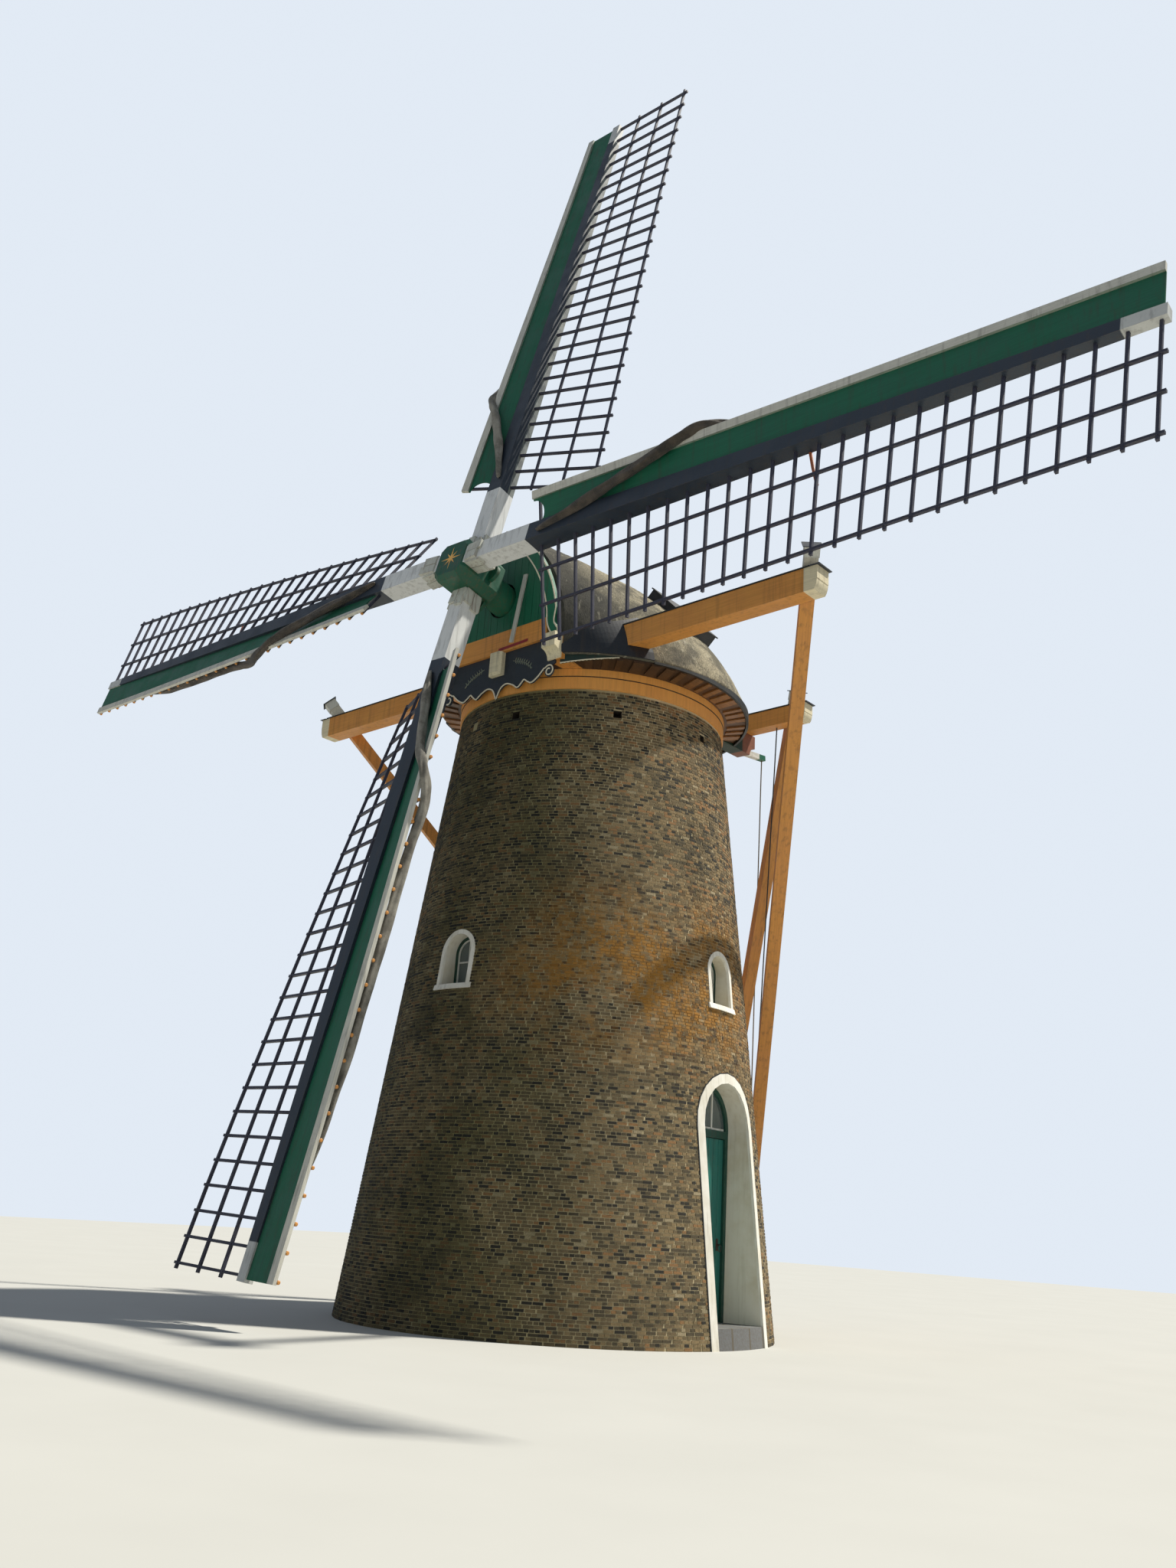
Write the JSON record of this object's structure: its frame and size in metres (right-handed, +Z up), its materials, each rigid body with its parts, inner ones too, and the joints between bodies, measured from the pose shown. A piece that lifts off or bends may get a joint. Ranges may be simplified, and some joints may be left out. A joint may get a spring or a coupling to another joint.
{
  "type": "tower windmill",
  "caption": "Round brick tower mill with a turning thatched cap, lattice sails on a tilted shaft and a braced tail pole.",
  "frame": {"origin": "on the tower's axis at ground level", "axes": "+Z up, the sails face -Y, the tail points to +Y, +X is on the right seen from the front"},
  "size_m": [23.9874, 11.62, 24.0841],
  "materials": {
    "brick": "old brown-grey brickwork",
    "stone": "worn stone",
    "paving": "paved floor",
    "ochre_timber": "ochre painted timber",
    "bare_timber": "plain sawn timber",
    "thatch": "weathered reed",
    "green_paint": "green painted timber",
    "teal_paint": "blue-green painted timber",
    "frame_paint": "dark green painted timber",
    "blue_black_paint": "blue-black painted timber",
    "stock_steel": "blue-black and white paint",
    "lattice_wood": "dark stained bars",
    "poll_iron": "green painted iron",
    "shaft_iron": "green painted iron",
    "cloth_grey": "weathered canvas",
    "cloth_dark": "tanned canvas",
    "white_paint": "white painted timber",
    "rope": "dark rope",
    "glass": "old window glass"
  },
  "bodies": {
    "tower": {"curb_ring": "ochre_timber", "door_frames": "frame_paint", "door_thresholds": "stone", "front_left_wall": "brick", "front_right_wall": "brick", "front_wall": "brick", "glass": "glass", "ground_floor": "paving", "left_door": "teal_paint", "left_door_jambs": "brick", "left_wall": "brick", "rear_left_wall": "brick", "rear_right_wall": "brick", "rear_wall": "brick", "right_door_jambs": "brick", "right_wall": "brick", "upper_floor": "bare_timber", "window_frames": "frame_paint"},
    "cap": {"apron": "blue_black_paint", "beard_board": "blue_black_paint", "brace_tops": "white_paint", "brake_lever": "white_paint", "brake_rope": "rope", "cap_ring": "ochre_timber", "eave_soffit": "ochre_timber", "edge_boards": "green_paint", "front_boards": "green_paint", "lead_plates": "blue_black_paint", "lean_plank": "white_paint", "long_beam": "ochre_timber", "long_braces": "ochre_timber", "neck_bearing": "stone", "ridge_hatch": "blue_black_paint", "sheers": "ochre_timber", "short_beam": "ochre_timber", "short_braces": "ochre_timber", "tail_beam": "bare_timber", "tail_line": "rope", "tail_pole": "ochre_timber", "thatch_left": "thatch", "thatch_right": "thatch", "weather_beam": "ochre_timber"},
    "sails": {"bottom_cloth": "cloth_grey", "bottom_lattice": "lattice_wood", "inner_boards": "green_paint", "inner_stock": "stock_steel", "left_cloth": "cloth_dark", "left_lattice": "lattice_wood", "outer_boards": "green_paint", "outer_stock": "stock_steel", "poll_end": "poll_iron", "poll_wedges": "white_paint", "right_cloth": "cloth_dark", "right_lattice": "lattice_wood", "top_cloth": "cloth_grey", "top_lattice": "lattice_wood", "windshaft": "shaft_iron"},
    "door": {"right_door": "teal_paint"}
  },
  "joints": [
    {"name": "cap_turn", "type": "hinge", "parent": "tower", "child": "cap", "pos_m": [0, 0, 10.56], "axis": [0, 0, 1], "continuous": true},
    {"name": "sails_turn", "type": "hinge", "parent": "cap", "child": "sails", "pos_m": [0, -3.553, 12.366], "axis": [0, -0.979, 0.204], "continuous": true},
    {"name": "door_swing", "type": "hinge", "parent": "tower", "child": "door", "pos_m": [2.72182, -0.35777, 0], "axis": [0, 0, 1], "range_deg": [0, 100]}
  ]
}
